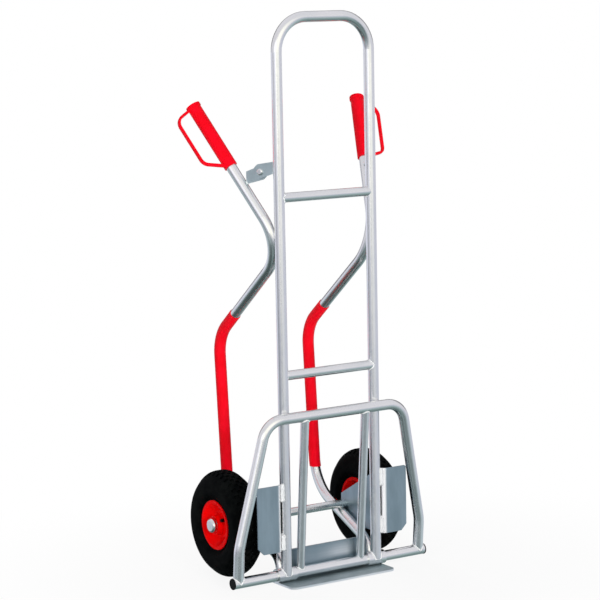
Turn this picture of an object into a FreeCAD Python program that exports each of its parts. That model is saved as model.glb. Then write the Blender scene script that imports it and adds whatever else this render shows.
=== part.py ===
"""Aluminium hand truck with slide runners, safety handles and a folding shovel.

Millimetres.  +Z is up, +Y points away from the load, X runs from wheel to wheel.
The origin is on the floor, midway between the legs, in the plane of the legs' centre lines.
"""

import FreeCAD, Part
import math
import os
import re
import Sketcher

from FreeCAD import Placement, Rotation, Vector

os.makedirs("parts", exist_ok=True)

# --------------------------------------------------------------------------------------
# Driving dimensions: cell alias, value, meaning
# --------------------------------------------------------------------------------------
SIZES = [
    ("tube_diameter", 25.0, "outer diameter of the frame, runner and shovel tubes"),
    ("tube_wall", 2.5, "wall of those tubes"),
    ("crossbar_diameter", 22.0, "outer diameter of the two crossbars"),
    ("crossbar_wall", 2.0, "wall of the two crossbars"),
    ("leg_offset", 127.0, "mid-plane to the centre line of a leg"),
    ("frame_height", 1311.0, "floor to the centre line of the top bow"),
    ("frame_corner_radius", 78.0, "centre-line radius of the top corners"),
    ("upper_crossbar_height", 903.0, "floor to the upper crossbar's centre line"),
    ("lower_crossbar_height", 492.0, "floor to the lower crossbar's centre line"),
    ("toe_thickness", 5.0, "sheet of the toe plate"),
    ("toe_half_width", 146.0, "mid-plane to the toe's side edge"),
    ("toe_reach", 55.0, "leg plane to the toe's front edge"),
    ("toe_corner_radius", 14.0, "radius of the toe's front corners"),
    ("toe_bend_radius", 6.0, "inner radius of the bend up to the back sheet"),
    ("back_sheet_height", 74.0, "floor to the top edge of the back sheet"),
    ("hinge_setback", 7.0, "leg plane to the shovel's hinge axis"),
    ("hinge_clearance", 0.1, "radial running clearance of the cross tube in its knuckles"),
    ("knuckle_wall", 4.0, "wall of the hinge knuckles"),
    ("knuckle_length", 50.0, "length of a hinge knuckle"),
    ("axle_diameter", 20.0, "diameter of the axle"),
    ("axle_height", 129.0, "floor to the axle"),
    ("axle_setback", 144.0, "leg plane to the axle"),
    ("axle_fit", 0.05, "radial gap between the axle and what sits on it"),
    ("axle_saddle", 3.0, "depth to which the runner arm is notched for the axle"),
    ("arm_angle", 24.0, "slope of the runner arm under the axle"),
    ("runner_low_radius", 110.0, "centre-line radius of the runner's low bend"),
    ("runner_high_radius", 88.0, "centre-line radius of the runner's high bend"),
    ("handle_bend_radius", 96.4, "centre-line radius of the bend at the leg"),
    ("runner_foot_radius", 40.0, "centre-line radius of the bend at the runner's foot"),
    ("runner_low_setback", 255.0, "leg plane to the low rear corner of the runner"),
    ("runner_high_setback", 281.0, "leg plane to the high rear corner of the runner"),
    ("contact_height", 790.4, "floor to the point where the runner touches the leg"),
    ("contact_depth", 4.5, "depth to which the runner is notched for the leg"),
    ("slant_angle", 38.4, "slope of the runner between its high corner and the leg"),
    ("handle_back_angle", 33.4, "backward lean of the handle, seen from the side"),
    ("handle_spread_angle", 17.6, "outward lean of the handle, seen from the front"),
    ("handle_length", 398.7, "contact corner to the upper end of the handle tube"),
    ("sleeve_wall", 1.5, "wall of the slide sleeves"),
    ("sleeve_clearance", 0.1, "radial gap between a runner tube and its sleeve"),
    ("sleeve_low_height", 203.5, "floor to the lower end of a sleeve"),
    ("sleeve_high_run", 98.0, "high corner to the upper end of a sleeve, along the slant"),
    ("grip_length", 172.0, "length of a grip"),
    ("grip_wall", 3.2, "wall of a grip around the tube"),
    ("grip_end_wall", 4.0, "closed end of a grip"),
    ("grip_clearance", 0.1, "gap between a grip and its tube"),
    ("grip_collar_height", 7.0, "height of the collar at the grip's upper end"),
    ("grip_collar_rim", 1.8, "how far the collar stands out from the grip"),
    ("guard_loop_reach", 59.5, "grip axis to the middle of the knuckle guard"),
    ("guard_loop_turn", 7.0, "turn of the knuckle guard from outward to the rear"),
    ("guard_loop_band", 6.5, "thickness of the knuckle guard's band"),
    ("guard_loop_width", 9.5, "width of the knuckle guard's band"),
    ("guard_loop_drop", 14.0, "fall of the guard from the grip's top to its corner"),
    ("guard_loop_low", 31.0, "grip's lower end to the guard's lower corner"),
    ("guard_loop_foot", 6.0, "grip's lower end to the guard's foot"),
    ("guard_loop_corner", 25.0, "radius of the guard's upper corner"),
    ("guard_loop_curve", 20.0, "radius of the guard's lower corner"),
    ("stay_height", 962.0, "floor to the stay's bolt"),
    ("stay_bolt_distance", 47.0, "leg axis to the stay's bolt"),
    ("stay_thickness", 3.0, "sheet of the stay lugs"),
    ("stay_lug_radius", 17.5, "half width of a lug at its bolt"),
    ("stay_root_half_width", 13.0, "half width of a lug where it is welded on"),
    ("stay_fall", 12.0, "rise of the leg lug from its bolt to the leg"),
    ("stay_handle_half_width", 14.5, "half width of the handle lug at its root"),
    ("stay_handle_reach", 85.0, "leg axis to the root of the handle lug before it is coped"),
    ("stay_handle_fall", 14.5, "fall of the handle lug from its bolt to its root"),
    ("stay_bolt_diameter", 8.0, "shank of the stay's bolt"),
    ("stay_bolt_clearance", 0.4, "gap between the bolt and its holes, on the diameter"),
    ("stay_dome_width", 16.0, "diameter of the stay bolt's round head"),
    ("stay_dome_height", 4.0, "height of the stay bolt's round head"),
    ("stay_nut_width", 13.0, "across the flats of the stay's nut"),
    ("stay_nut_height", 5.3, "height of the stay's nut"),
    ("bracket_thickness", 3.0, "sheet of the side brackets"),
    ("guard_outer", 210.0, "mid-plane to the wheel guard's outer edge"),
    ("guard_low", 82.0, "floor to the side bracket's lower edge"),
    ("guard_high", 240.0, "floor to the side bracket's upper edge"),
    ("guard_advance", 11.0, "leg plane to the guard's front face"),
    ("guard_bend_run", 10.5, "run of the slanted strip between gusset and guard"),
    ("guard_bend_radius", 3.0, "inner radius of the bracket's two bends"),
    ("guard_corner_cut", 15.0, "cut-off lower outer corner of the guard"),
    ("guard_corner_radius", 5.0, "radius of the guard's upper outer corner"),
    ("guard_slot_width", 6.0, "width of the slot along the bend"),
    ("guard_slot_lap", 1.0, "how far the slot reaches into the gusset"),
    ("guard_slot_low", 123.0, "floor to the lower end of the slot"),
    ("guard_slot_high", 200.0, "floor to the upper end of the slot"),
    ("gusset_reach", 163.0, "leg plane to the gusset's rear corner"),
    ("gusset_rear_height", 150.0, "floor to the gusset's rear upper corner"),
    ("wheel_diameter", 253.0, "outer diameter of the tyre"),
    ("tyre_width", 80.0, "width of the tyre"),
    ("wheel_offset", 200.6, "mid-plane to the wheel's centre plane"),
    ("tyre_wall", 7.0, "thickness of the tyre's carcass"),
    ("tyre_crown", 30.0, "width of the tyre's crown"),
    ("tyre_shoulder_radius", 26.0, "radius between the tyre's crown and its side"),
    ("tyre_shoulder_drop", 22.5, "fall of the tyre from its crown to its widest part"),
    ("tyre_side_drop", 54.0, "fall of the tyre from its crown to the foot of its side"),
    ("bead_width", 14.0, "width of a tyre bead on the rim"),
    ("bead_height", 11.0, "height of a tyre bead against the rim flange"),
    ("inner_tube_gap", 0.3, "gap between the inner tube and the tyre"),
    ("inner_tube_wall", 1.5, "wall of the inner tube"),
    ("tread_depth", 3.0, "depth of the tread between its blocks"),
    ("tread_rows", 6.0, "rows of blocks across the tread, an even number"),
    ("tread_row_width", 9.0, "width of a row of blocks"),
    ("tread_pitches", 40.0, "blocks around each row"),
    ("tread_gap_share", 0.42, "share of a row's length that is open between its blocks"),
    ("rim_edge_diameter", 118.0, "outer diameter of the rim flanges"),
    ("rim_width", 68.0, "distance over the rim flanges"),
    ("rim_seat_diameter", 104.0, "diameter of the tyre's seat on the rim"),
    ("rim_wall", 4.0, "wall of the plastic rim"),
    ("rim_well_width", 20.0, "width of the rim's well"),
    ("rim_well_depth", 6.0, "depth of the rim's well below the tyre's seat"),
    ("rim_web", 5.0, "thickness of the dish between hub and rim, along the axle"),
    ("rim_dish_floor", 7.0, "wheel's centre plane to the floor of the dish beside the hub"),
    ("rim_edge_round", 6.0, "radius where the dish meets the rim's outer edge"),
    ("rim_dish_radius", 7.0, "radius round the floor of the dish"),
    ("rim_ribs", 6.0, "ribs behind the dish of the rim"),
    ("rim_rib_width", 6.0, "width of a rib"),
    ("hub_diameter", 44.0, "outer diameter of the hub"),
    ("hub_length", 70.0, "length of the hub"),
    ("bearing_diameter", 32.0, "outer diameter of the roller bearings"),
    ("bearing_length", 16.0, "length of a roller bearing"),
    ("bearing_clearance", 0.05, "radial running clearance on the axle"),
    ("side_play", 0.5, "axial play of a wheel on each side"),
    ("valve_diameter", 8.0, "diameter of the valve stem"),
    ("valve_radius", 30.5, "wheel axis to the valve's outer end, which points outward"),
    ("valve_bend", 8.0, "centre-line radius of the valve's bend"),
    ("valve_reach", 31.0, "wheel's centre plane to the valve's outer end"),
    ("valve_window", 14.0, "diameter of the hole in the dish for the valve"),
    ("valve_offset", 9.0, "wheel's centre plane to the valve"),
    ("valve_clearance", 0.4, "gap around the valve in the rim"),
    ("valve_seat_gap", 0.2, "gap between the valve's root and the round air tube"),
    ("washer_diameter", 28.0, "outer diameter of the axle washers"),
    ("washer_thickness", 2.0, "thickness of the axle washers"),
    ("spacer_diameter", 27.0, "outer diameter of the axle spacers"),
    ("axle_cap_diameter", 35.0, "diameter of the push-on axle caps"),
    ("axle_cap_height", 9.0, "height of the axle caps"),
    ("axle_cap_wall", 2.0, "end wall of the axle caps"),
    ("axle_cap_radius", 6.0, "radius of the rounded edge of the axle caps"),
    ("shovel_half_length", 269.5, "mid-plane to the end of the cross tube"),
    ("shovel_height", 376.5, "hinge axis to the bow's centre line"),
    ("shovel_foot_offset", 255.0, "mid-plane to the bow's foot"),
    ("shovel_waist", 79.0, "hinge axis to the bow's lower bends"),
    ("shovel_top_offset", 189.5, "mid-plane to the bow's upper corner"),
    ("shovel_corner_radius", 52.0, "centre-line radius of the bow's upper corners"),
    ("shovel_waist_radius", 110.0, "centre-line radius of the bow's lower bends"),
    ("shovel_bar_diameter", 20.0, "outer diameter of the shovel's bars"),
    ("shovel_bar_wall", 2.0, "wall of the shovel's bars"),
    ("shovel_bar_offset", 84.7, "mid-plane to a bar's centre line"),
    ("shovel_rest_gap", 0.3, "gap between the folded bow and the legs"),
    ("plug_head_length", 2.5, "visible length of a cross tube plug"),
    ("plug_head_rim", 0.6, "how far a plug's head stands out from its tube"),
    ("plug_insert_length", 22.0, "length of a plug inside its tube"),
    ("plug_wall", 2.0, "wall of a plug's insert"),
]

doc = FreeCAD.newDocument("HandTruck")
sheet = doc.addObject("Spreadsheet::Sheet", "Sizes")
for row, (alias, size, meaning) in enumerate(SIZES, start=1):
    sheet.set(f"A{row}", alias)
    sheet.set(f"B{row}", str(size))
    sheet.set(f"C{row}", meaning)
    sheet.setAlias(f"B{row}", alias)
doc.recompute()
ALIASES = {alias for alias, size, meaning in SIZES}

# --------------------------------------------------------------------------------------
# Formulas that several pieces share
# --------------------------------------------------------------------------------------
TUBE_RADIUS = "(tube_diameter / 2)"
TUBE_BORE = "(tube_diameter / 2 - tube_wall)"
KNUCKLE_BORE = "(tube_diameter / 2 + hinge_clearance)"
KNUCKLE_RADIUS = f"({KNUCKLE_BORE} + knuckle_wall)"
HINGE_HEIGHT = f"(toe_thickness + {KNUCKLE_RADIUS})"
BACK_SHEET_FRONT = f"(hinge_setback + {KNUCKLE_RADIUS})"
BACK_SHEET_REAR = f"({BACK_SHEET_FRONT} + toe_thickness)"
BACK_SHEET_HALF = f"(leg_offset - {TUBE_RADIUS})"
AXLE_HEIGHT = "axle_height"
AXLE_RADIUS = "(axle_diameter / 2)"
BRACKET_INNER = f"(leg_offset + {TUBE_RADIUS})"
BRACKET_OUTER = f"({BRACKET_INNER} + bracket_thickness)"
HUB_INNER = "(wheel_offset - hub_length / 2)"
HUB_OUTER = "(wheel_offset + hub_length / 2)"
WASHER_INNER = f"({HUB_OUTER} + side_play)"
CAP_INNER = f"({WASHER_INNER} + washer_thickness)"
SLEEVE_BORE = f"({TUBE_RADIUS} + sleeve_clearance)"
SLEEVE_RADIUS = f"({SLEEVE_BORE} + sleeve_wall)"
GRIP_BORE = f"({TUBE_RADIUS} + grip_clearance)"
GRIP_RADIUS = f"({GRIP_BORE} + grip_wall)"
# The arm's centre line passes under the axle at the distance at which the two tubes seat.
ARM_SEAT = f"({AXLE_RADIUS} + {TUBE_RADIUS} - axle_saddle)"
ARM_DROP = f"({ARM_SEAT} / cos(arm_angle))"


def arm_height(setback):
    """Formula for the height of the arm's centre line at a distance behind the legs."""
    return f"({AXLE_HEIGHT} - {ARM_DROP} + ({setback} - axle_setback) * tan(arm_angle))"


RUNNER_FOOT = "tube_diameter"
LOW_CORNER = arm_height("runner_low_setback")


def cell_names(formula):
    """The formula with every size written as a cell of the sheet."""
    return re.sub(r"[a-z_]+", lambda word: "Sizes." + word[0] if word[0] in ALIASES else word[0], formula)


def number(formula):
    """Value of a formula over the sheet's sizes."""
    return float(sheet.evalExpression(cell_names(formula)))


def bind(item, name, formula):
    """Ties a property to a formula over the sheet's sizes."""
    item.setExpression(name, cell_names(formula))


# --------------------------------------------------------------------------------------
# Sketches and features
# --------------------------------------------------------------------------------------
def new_body(label):
    body = doc.addObject("PartDesign::Body", label)
    body.Label = label
    return body


def new_sketch(body, name, role, offset="0"):
    """Sketch on one of the body's origin planes, moved along that plane's normal."""
    sketch = body.newObject("Sketcher::SketchObject", body.Label + "_" + name)
    origin_plane = next(item for item in body.Origin.OriginFeatures if item.Role == role)
    sketch.AttachmentSupport = [(origin_plane, "")]
    sketch.MapMode = "FlatFace"
    if offset != "0":
        bind(sketch, ".AttachmentOffset.Base.z", offset)
    return sketch


def add_size(sketch, kind, *place, formula):
    """Dimension whose value follows a formula."""
    index = sketch.addConstraint(Sketcher.Constraint(kind, *place, number(formula)))
    bind(sketch, f"Constraints[{index}]", formula)


def pin_point(sketch, geometry, position, across, up):
    """Fixes a point of the sketch at two formulas."""
    add_size(sketch, "DistanceX", -1, 1, geometry, position, formula=across)
    add_size(sketch, "DistanceY", -1, 1, geometry, position, formula=up)


def circle(sketch, across, up, radius):
    centre = Vector(number(across), number(up), 0)
    index = sketch.addGeometry(Part.Circle(centre, Vector(0, 0, 1), number(radius)))
    pin_point(sketch, index, 3, across, up)
    add_size(sketch, "Radius", index, formula=radius)


def arc_between(centre, radius, entry, leave):
    """Anticlockwise arc between two points, with the numbers of its entry and leaving ends."""
    first, last = entry - centre, leave - centre
    ends = (1, 2)
    if first.cross(last).z < 0:
        first, last = last, first
        ends = (2, 1)
    start = math.atan2(first.y, first.x)
    circle = Part.Circle(centre, Vector(0, 0, 1), radius)
    return Part.ArcOfCircle(circle, start, start + first.getAngle(last)), *ends


def outline(sketch, corners, closed=True):
    """Line through corners (across, up) or (across, up, radius), rounded where a radius is given."""
    points = [Vector(number(corner[0]), number(corner[1]), 0) for corner in corners]
    count = len(corners)
    starts = list(points)
    ends = list(points)
    arcs = {}
    for i, corner in enumerate(corners):
        if len(corner) < 3:
            continue
        before = (points[i - 1] - points[i]).normalize()
        after = (points[(i + 1) % count] - points[i]).normalize()
        half = before.getAngle(after) / 2
        radius = number(corner[2])
        run = radius / math.tan(half)
        centre = points[i] + (before + after).normalize() * (radius / math.sin(half))
        ends[i] = points[i] + before * run
        starts[i] = points[i] + after * run
        arcs[i] = arc_between(centre, radius, ends[i], starts[i])
    last = count if closed else count - 1
    lines = []
    for i in range(last):
        lines.append(sketch.addGeometry(Part.LineSegment(starts[i], ends[(i + 1) % count])))
    for i, corner in enumerate(corners):
        before = lines[i - 1] if closed or i > 0 else None
        after = lines[i] if i < last else None
        if i not in arcs:
            if before is not None and after is not None:
                sketch.addConstraint(Sketcher.Constraint("Coincident", before, 2, after, 1))
            if after is not None:
                pin_point(sketch, after, 1, corner[0], corner[1])
            else:
                pin_point(sketch, before, 2, corner[0], corner[1])
            continue
        shape, first, second = arcs[i]
        arc = sketch.addGeometry(shape)
        vertex = sketch.addGeometry(Part.Point(points[i]), True)
        pin_point(sketch, vertex, 1, corner[0], corner[1])
        sketch.addConstraint(Sketcher.Constraint("PointOnObject", vertex, 1, before))
        sketch.addConstraint(Sketcher.Constraint("PointOnObject", vertex, 1, after))
        sketch.addConstraint(Sketcher.Constraint("Tangent", before, 2, arc, first))
        sketch.addConstraint(Sketcher.Constraint("Tangent", arc, second, after, 1))
        add_size(sketch, "Radius", arc, formula=corner[2])


def feature(body, kind, name, **settings):
    """PartDesign feature of a body, which becomes the body's tip."""
    item = body.newObject("PartDesign::" + kind, body.Label + "_" + name)
    for key, setting in settings.items():
        setattr(item, key, setting)
    body.Tip = item
    return item


def pad(body, name, sketch, length, **settings):
    item = feature(body, "Pad", name, Profile=sketch, **settings)
    bind(item, "Length", length)
    return item


def pocket(body, name, sketch, length=None, **settings):
    """Cut through everything on both sides of the sketch, or to a length."""
    if length is None:
        return feature(body, "Pocket", name, Profile=sketch, Type="ThroughAll", SideType="Symmetric")
    item = feature(body, "Pocket", name, Profile=sketch, **settings)
    bind(item, "Length", length)
    return item


def revolve(body, name, sketch, kind="Revolution"):
    """Full turn about the sketch's horizontal axis."""
    return feature(body, kind, name, Profile=sketch, ReferenceAxis=(sketch, ["H_Axis"]), Angle=360)


def bent_tube(body, name, role, offset, corners, profile_role, profile_offset, centre, radii):
    """Tube swept along a bent centre line."""
    spine = new_sketch(body, name + "_line", role, offset)
    outline(spine, corners, closed=False)
    profile = new_sketch(body, name + "_section", profile_role, profile_offset)
    for radius in radii:
        circle(profile, centre[0], centre[1], radius)
    doc.recompute()
    pipe = feature(body, "AdditivePipe", name, Profile=profile, Spine=(spine, []))
    return pipe


def cope(body, name, role, across, up, radius):
    """Saddle cut by a round tube that runs square to an origin plane."""
    sketch = new_sketch(body, name, role)
    circle(sketch, across, up, radius)
    return pocket(body, name + "_cut", sketch)


def side_name(side):
    return "left" if side < 0 else "right"


def sided(side, formula):
    """Formula across X for the left (-1) or right (+1) side."""
    return f"({side} * {formula})"


# --------------------------------------------------------------------------------------
# Main frame
# --------------------------------------------------------------------------------------
def main_frame_tube():
    body = new_body("main_frame_tube")
    left = sided(-1, "leg_offset")
    corners = [
        (left, HINGE_HEIGHT),
        (left, "frame_height", "frame_corner_radius"),
        ("leg_offset", "frame_height", "frame_corner_radius"),
        ("leg_offset", HINGE_HEIGHT),
    ]
    bent_tube(body, "bow", "XZ_Plane", "0", corners, "XY_Plane", HINGE_HEIGHT, (left, "0"), (TUBE_RADIUS, TUBE_BORE))
    cope(body, "knuckle_seat", "YZ_Plane", "hinge_setback", HINGE_HEIGHT, KNUCKLE_RADIUS)
    return body


def crossbar(label, height):
    """Straight tube between the legs, its ends coped to them."""
    body = new_body(label)
    section = new_sketch(body, "section", "YZ_Plane")
    circle(section, "0", height, "(crossbar_diameter / 2)")
    circle(section, "0", height, "(crossbar_diameter / 2 - crossbar_wall)")
    pad(body, "tube", section, "(2 * leg_offset)", SideType="Symmetric")
    for side in (-1, 1):
        cope(body, "leg_seat_" + side_name(side), "XY_Plane", sided(side, "leg_offset"), "0", TUBE_RADIUS)
    return body


def toe_plate():
    """Toe on the floor, bent up into the sheet between the legs."""
    body = new_body("toe_plate")
    plan = new_sketch(body, "plan", "XY_Plane")
    half = "toe_half_width"
    notch = BACK_SHEET_HALF
    bend_start = f"({BACK_SHEET_FRONT} - 2 * toe_bend_radius)"
    rear = f"({RUNNER_FOOT} + {TUBE_RADIUS})"
    outline(plan, [
        (sided(-1, half), "(-toe_reach)", "toe_corner_radius"),
        (half, "(-toe_reach)", "toe_corner_radius"),
        (half, rear),
        (notch, rear),
        (notch, bend_start),
        (sided(-1, notch), bend_start),
        (sided(-1, notch), rear),
        (sided(-1, half), rear),
    ])
    pad(body, "toe", plan, "toe_thickness")
    bend = new_sketch(body, "bend", "YZ_Plane")
    outline(bend, [
        (bend_start, "0"),
        (BACK_SHEET_REAR, "0", "(toe_bend_radius + toe_thickness)"),
        (BACK_SHEET_REAR, "back_sheet_height"),
        (BACK_SHEET_FRONT, "back_sheet_height"),
        (BACK_SHEET_FRONT, "toe_thickness", "toe_bend_radius"),
        (bend_start, "toe_thickness"),
    ])
    pad(body, "back_sheet", bend, f"(2 * {notch})", SideType="Symmetric")
    return body


def hinge_knuckle(side):
    body = new_body("hinge_knuckle_" + side_name(side))
    section = new_sketch(body, "section", "YZ_Plane", sided(side, "leg_offset"))
    circle(section, "hinge_setback", HINGE_HEIGHT, KNUCKLE_RADIUS)
    circle(section, "hinge_setback", HINGE_HEIGHT, KNUCKLE_BORE)
    pad(body, "sleeve", section, "knuckle_length", SideType="Symmetric")
    return body


# --------------------------------------------------------------------------------------
# Runner tube, its sleeve and its handle
# --------------------------------------------------------------------------------------
def runner_corners():
    """Corner points of the right runner's centre line, from its foot to the end of the handle."""
    slant = math.radians(number("slant_angle"))
    back = math.tan(math.radians(number("handle_back_angle")))
    spread = math.tan(math.radians(number("handle_spread_angle")))
    leg = number("leg_offset")
    rising = Vector(0, -math.cos(slant), math.sin(slant))
    handle = Vector(spread, back, 1).normalize()
    turn = rising.getAngle(handle)
    inward = (handle - rising).normalize()
    sagitta = number("handle_bend_radius") * (1 / math.cos(turn / 2) - 1)
    touch_setback = number("tube_diameter - contact_depth")
    contact = Vector(leg, touch_setback - inward.y * sagitta, number("contact_height") - inward.z * sagitta)
    high_setback = number("runner_high_setback")
    high_height = contact.z - (high_setback - contact.y) * math.tan(slant)
    return [
        Vector(leg, number(RUNNER_FOOT), number("toe_thickness")),
        Vector(leg, number(RUNNER_FOOT), number(arm_height(RUNNER_FOOT))),
        Vector(leg, number("runner_low_setback"), number(LOW_CORNER)),
        Vector(leg, high_setback, high_height),
        contact,
        contact + handle * number("handle_length"),
    ]


def round_bar(corners, bend_radii, radius):
    """Solid bar along a bent centre line, from cylinders and torus sectors."""
    pieces = []
    start = corners[0]
    for before, corner, after, bend in zip(corners, corners[1:], corners[2:], bend_radii):
        incoming = (corner - before).normalize()
        outgoing = (after - corner).normalize()
        turn = incoming.getAngle(outgoing)
        run = bend * math.tan(turn / 2)
        enter = corner - incoming * run
        axis = incoming.cross(outgoing).normalize()
        centre = enter + axis.cross(incoming) * bend
        pieces.append(Part.makeCylinder(radius, (enter - start).Length, start, incoming))
        section = Part.Face(Part.Wire(Part.makeCircle(radius, enter, incoming)))
        pieces.append(section.revolve(centre, axis, math.degrees(turn)))
        start = corner + outgoing * run
    last = corners[-1] - start
    pieces.append(Part.makeCylinder(radius, last.Length, start, last))
    return pieces[0].fuse(pieces[1:]).removeSplitter()


RUNNER = runner_corners()
RUNNER_BENDS = [number(name) for name in (
    "runner_foot_radius", "runner_low_radius", "runner_high_radius", "handle_bend_radius")]
HANDLE_AXIS = (RUNNER[5] - RUNNER[4]).normalize()


def mirrored(point, side):
    """Point or direction of the right side carried to a side."""
    return Vector(side * point.x, point.y, point.z)


def long_cylinder(radius, middle, axis, length):
    return Part.makeCylinder(radius, length, middle - axis * (length / 2), axis)


def runner_tube(side):
    item = doc.addObject("Part::Feature", "runner_tube_" + side_name(side))
    item.Label = item.Name
    corners = [mirrored(corner, side) for corner in RUNNER]
    tube = round_bar(corners, RUNNER_BENDS, number(TUBE_RADIUS))
    tube = tube.cut(round_bar(corners, RUNNER_BENDS, number(TUBE_BORE)))
    leg = Vector(side * number("leg_offset"), 0, 0)
    height = number("frame_height")
    across = number("tube_diameter * 4")
    along_x = Vector(1, 0, 0)
    tools = [
        Part.makeCylinder(number(TUBE_RADIUS), height, leg, Vector(0, 0, 1)),
        long_cylinder(number(KNUCKLE_RADIUS), leg + Vector(0, number("hinge_setback"), number(HINGE_HEIGHT)),
                      along_x, across),
        long_cylinder(number(AXLE_RADIUS), leg + Vector(0, number("axle_setback"), number(AXLE_HEIGHT)),
                      along_x, across),
    ]
    item.Shape = max(tube.cut(tools).Solids, key=lambda solid: solid.Volume)
    return item


def slide_sleeve(side):
    """Plastic sleeve round the slide part of a runner, cut off level at its lower end."""
    item = doc.addObject("Part::Feature", "slide_sleeve_" + side_name(side))
    item.Label = item.Name
    arm, low, high, contact = [mirrored(corner, side) for corner in RUNNER[1:5]]
    slant = (contact - high).normalize()
    corners = [arm, low, high, high + slant * number("sleeve_high_run")]
    bends = RUNNER_BENDS[1:3]
    sleeve = round_bar(corners, bends, number(SLEEVE_RADIUS)).cut(round_bar(corners, bends, number(SLEEVE_BORE)))
    level = number("sleeve_low_height")
    reach = number("frame_height")
    below = Part.makeBox(reach, reach, reach, Vector(-reach / 2, 0, level - reach))
    item.Shape = sleeve.cut(below)
    return item


def local_placement(origin, x_axis, z_axis):
    """Placement whose local X and Z point along two directions."""
    return Placement(origin, Rotation(x_axis, z_axis.cross(x_axis), z_axis, "XZY"))


def grip(side):
    """Closed grip with a knuckle guard, built along its own axis."""
    body = new_body("grip_" + side_name(side))
    base = new_sketch(body, "base", "XY_Plane")
    circle(base, "0", "0", GRIP_RADIUS)
    pad(body, "bar", base, "grip_length")
    rim = new_sketch(body, "rim", "XY_Plane", "(grip_length - grip_collar_height)")
    circle(rim, "0", "0", f"({GRIP_RADIUS} + grip_collar_rim)")
    pad(body, "collar", rim, "grip_collar_height")
    spine = new_sketch(body, "loop_line", "XZ_Plane")
    root = f"({GRIP_BORE} - 3)"
    outline(spine, [
        (root, "(grip_length - guard_loop_band)"),
        ("guard_loop_reach", "(grip_length - guard_loop_band - guard_loop_drop)", "guard_loop_corner"),
        ("guard_loop_reach", "guard_loop_low", "guard_loop_curve"),
        (root, "guard_loop_foot"),
    ], closed=False)
    section = new_sketch(body, "loop_section", "YZ_Plane", root)
    half = "(guard_loop_width / 2)"
    middle = "(grip_length - guard_loop_band)"
    outline(section, [
        (f"(-{half})", f"({middle} - guard_loop_band / 2)", "(guard_loop_band / 3)"),
        (half, f"({middle} - guard_loop_band / 2)", "(guard_loop_band / 3)"),
        (half, f"({middle} + guard_loop_band / 2)", "(guard_loop_band / 3)"),
        (f"(-{half})", f"({middle} + guard_loop_band / 2)", "(guard_loop_band / 3)"),
    ])
    doc.recompute()
    feature(body, "AdditivePipe", "loop", Profile=section, Spine=(spine, []))
    bore = new_sketch(body, "bore", "XY_Plane")
    circle(bore, "0", "0", GRIP_BORE)
    pocket(body, "socket", bore, "(grip_length - grip_end_wall)", Reversed=True)
    axis = mirrored(HANDLE_AXIS, side)
    turn = math.radians(number("guard_loop_turn"))
    outward = Vector(side * math.cos(turn), math.sin(turn), 0)
    outward = (outward - axis * outward.dot(axis)).normalize()
    low = mirrored(RUNNER[5], side) + axis * number("grip_clearance + grip_end_wall - grip_length")
    body.Placement = local_placement(low, outward, axis)
    return body


# --------------------------------------------------------------------------------------
# Stays between the legs and the handles
# --------------------------------------------------------------------------------------
def stay_frame(side):
    """Placement of a stay: X from the leg to the handle, Z up, origin on the leg's axis at the bolt."""
    corner = mirrored(RUNNER[4], side)
    axis = mirrored(HANDLE_AXIS, side)
    at_height = corner + axis * ((number("stay_height") - corner.z) / axis.z)
    leg = Vector(side * number("leg_offset"), 0, number("stay_height"))
    return local_placement(leg, (at_height - leg).normalize(), Vector(0, 0, 1))


def lug_plate(side, name, root, root_rise, half_width, sign):
    """Plate of a stay from its welded root to a round end about the bolt."""
    body = new_body(name + "_" + side_name(side))
    plate = new_sketch(body, "plate", "XZ_Plane")
    slope = "tan(22.5)"
    turn = f"(stay_bolt_distance + {sign} * stay_lug_radius * {slope})"
    end = f"(stay_bolt_distance + {sign} * stay_lug_radius)"
    bend = "(stay_lug_radius * 0.75)"
    outline(plate, [
        (root, f"({root_rise} - {half_width})"),
        (turn, "(-stay_lug_radius)", bend),
        (end, f"(-stay_lug_radius * {slope})", bend),
        (end, f"(stay_lug_radius * {slope})", bend),
        (turn, "stay_lug_radius", bend),
        (root, f"({root_rise} + {half_width})"),
    ])
    pad(body, "sheet", plate, "stay_thickness", Reversed=side * sign < 0)
    hole = new_sketch(body, "hole", "XZ_Plane")
    circle(hole, "stay_bolt_distance", "0", "((stay_bolt_diameter + stay_bolt_clearance) / 2)")
    pocket(body, "bolt_hole", hole)
    return body


def stay_leg_lug(side):
    body = lug_plate(side, "stay_leg_lug", f"({TUBE_RADIUS} / 2)", "stay_fall", "stay_root_half_width", 1)
    cope(body, "leg_seat", "XY_Plane", "0", "0", TUBE_RADIUS)
    body.Placement = stay_frame(side)
    return body


def stay_handle_lug(side):
    """Lug that hangs from the handle, its root coped to the slanting tube."""
    plate = lug_plate(side, "stay_handle_plate", "stay_handle_reach", "(-stay_handle_fall)",
                      "stay_handle_half_width", -1)
    plate.Placement = stay_frame(side)
    handle = doc.addObject("Part::Cylinder", "stay_handle_cope_" + side_name(side))
    bind(handle, "Radius", TUBE_RADIUS)
    bind(handle, "Height", "(handle_length)")
    handle.Placement = Placement(mirrored(RUNNER[4], side), Rotation(Vector(0, 0, 1), mirrored(HANDLE_AXIS, side)))
    lug = doc.addObject("Part::Cut", "stay_handle_lug_" + side_name(side))
    lug.Base = plate
    lug.Tool = handle
    lug.Label = lug.Name
    return lug


def across_stay(side, offset, along=Vector(0, 0, 1)):
    """Placement on a stay's bolt axis, raised by a formula, with a given axis of its own turned outward."""
    frame = stay_frame(side)
    outward = frame.Rotation.multVec(Vector(0, -side, 0))
    bolt = frame.multVec(Vector(number("stay_bolt_distance"), 0, 0))
    return Placement(bolt + outward * number(offset), Rotation(along, outward))


def hexagon(name, height, placement):
    prism = doc.addObject("Part::Prism", name)
    prism.Polygon = 6
    bind(prism, "Circumradius", "(stay_nut_width / sqrt(3))")
    bind(prism, "Height", height)
    prism.Placement = placement
    return prism


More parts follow.
